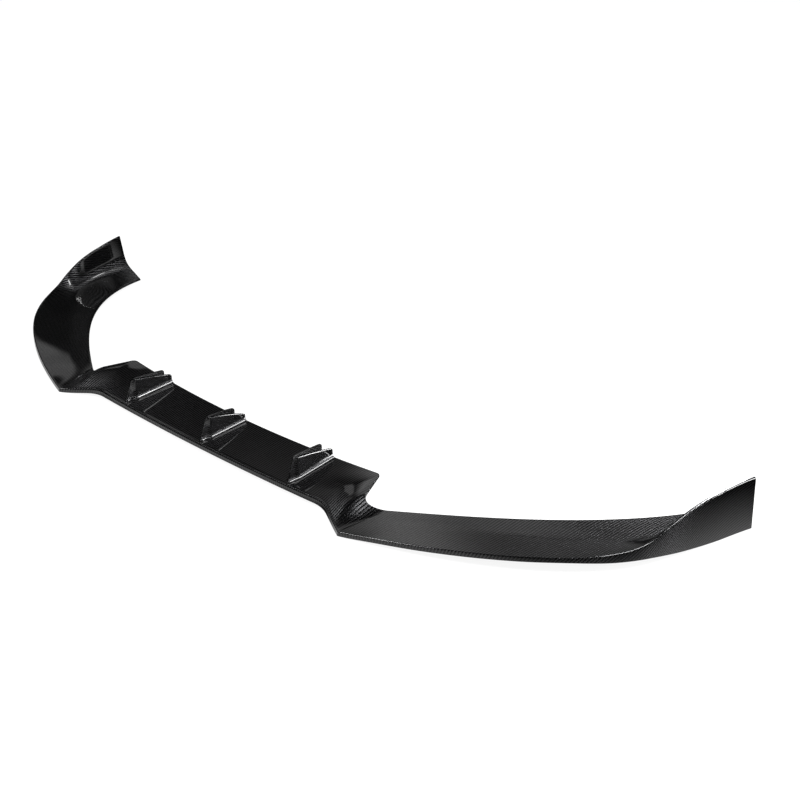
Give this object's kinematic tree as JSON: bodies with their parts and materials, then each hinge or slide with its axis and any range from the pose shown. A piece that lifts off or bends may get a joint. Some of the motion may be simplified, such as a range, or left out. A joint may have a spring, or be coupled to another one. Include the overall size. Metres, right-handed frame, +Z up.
{
  "type": "front splitter lip",
  "caption": "Carbon-look front splitter lip: a shallow panel with upright V fins between swept wings that rise into end fences.",
  "frame": {"origin": "on the ground, at the middle of the lip's width and depth", "axes": "+X across the car along the lip's width, +Y towards the car's rear, +Z up"},
  "size_m": [1.8, 0.507, 0.098],
  "materials": {
    "carbon": "twill carbon laminate under a clear gloss coat"
  },
  "bodies": {
    "root": {"splitter_lip": "carbon"}
  },
  "joints": []
}
